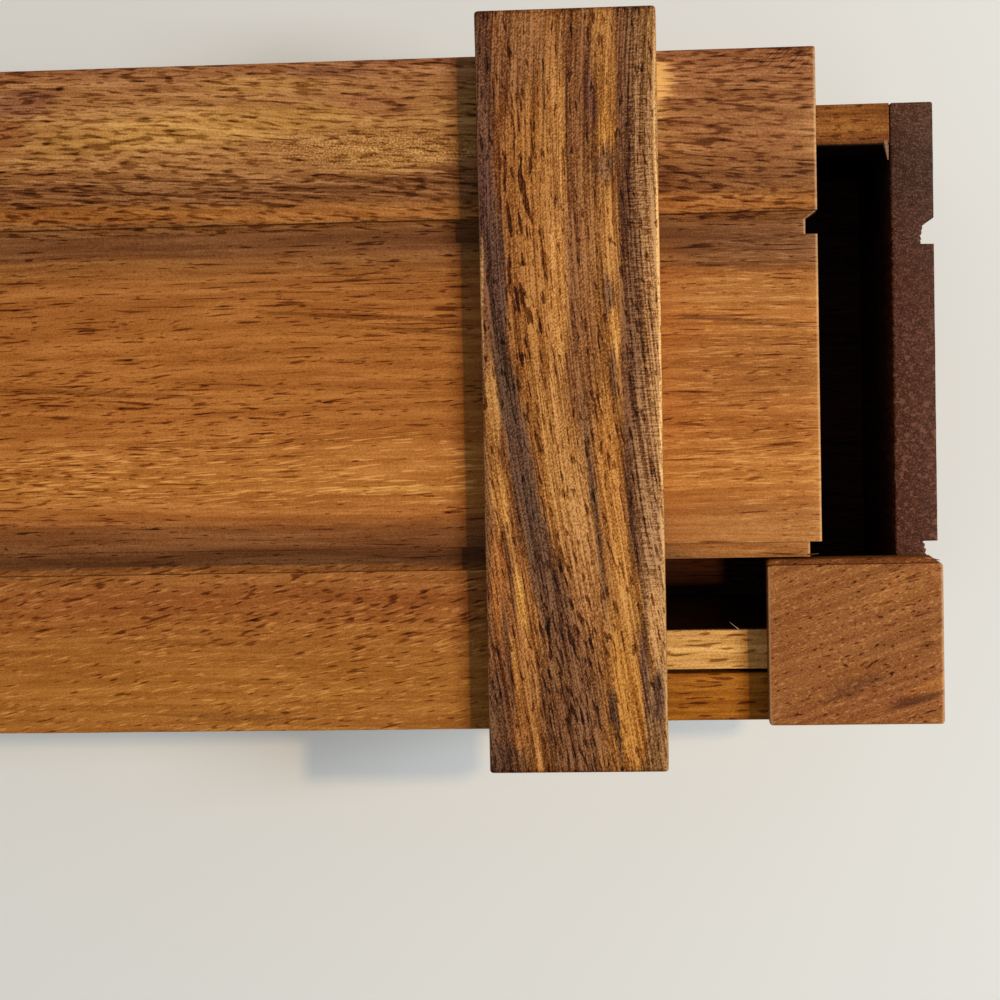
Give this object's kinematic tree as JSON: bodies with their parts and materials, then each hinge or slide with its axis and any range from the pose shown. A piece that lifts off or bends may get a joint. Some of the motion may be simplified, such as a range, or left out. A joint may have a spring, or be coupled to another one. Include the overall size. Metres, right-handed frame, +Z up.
{
  "type": "trinket box",
  "caption": "Wooden trinket box with a grooved plank lid and overhanging crossbars that slides along the box on hidden runners and closes against a corner block.",
  "frame": {"origin": "middle of the box's underside", "axes": "+X along the box towards the corner block, +Y across it away from the corner block, +Z up"},
  "size_m": [0.1809, 0.1, 0.0727],
  "materials": {
    "dark_board": "oiled, dark brown",
    "pale_board": "oiled, pale yellow brown",
    "light_brown_board": "oiled, light brown",
    "end_board": "oiled, dark brown end grain on top",
    "dowel_wood": "raw",
    "block_wood": "oiled, red brown",
    "golden_plank": "oiled, golden brown with dark pores",
    "orange_plank": "oiled, orange brown",
    "near_plank": "oiled, orange brown",
    "bar_wood": "oiled, dark streaked brown",
    "rail_wood": "oiled, brown",
    "runner_wood": "waxed"
  },
  "bodies": {
    "box": {"bottom_board": "dark_board", "near_side_wall": "pale_board", "far_side_wall": "light_brown_board", "right_end_panel": "end_board", "left_end_panel": "end_board", "corner_dowels": "dowel_wood", "corner_block": "block_wood", "block_dowels": "dowel_wood"},
    "lid": {"far_lid_plank": "golden_plank", "centre_lid_plank": "orange_plank", "near_lid_plank": "near_plank", "right_crossbar": "bar_wood", "left_crossbar": "bar_wood", "crossbar_dowels": "dowel_wood", "near_skirt_rail": "rail_wood", "far_skirt_rail": "rail_wood", "near_runner": "runner_wood", "far_runner": "runner_wood"}
  },
  "joints": [
    {"name": "lid_slide", "type": "slide", "parent": "box", "child": "lid", "axis": [-1, 0, 0], "range_m": [-0.0159, 0.122]}
  ]
}
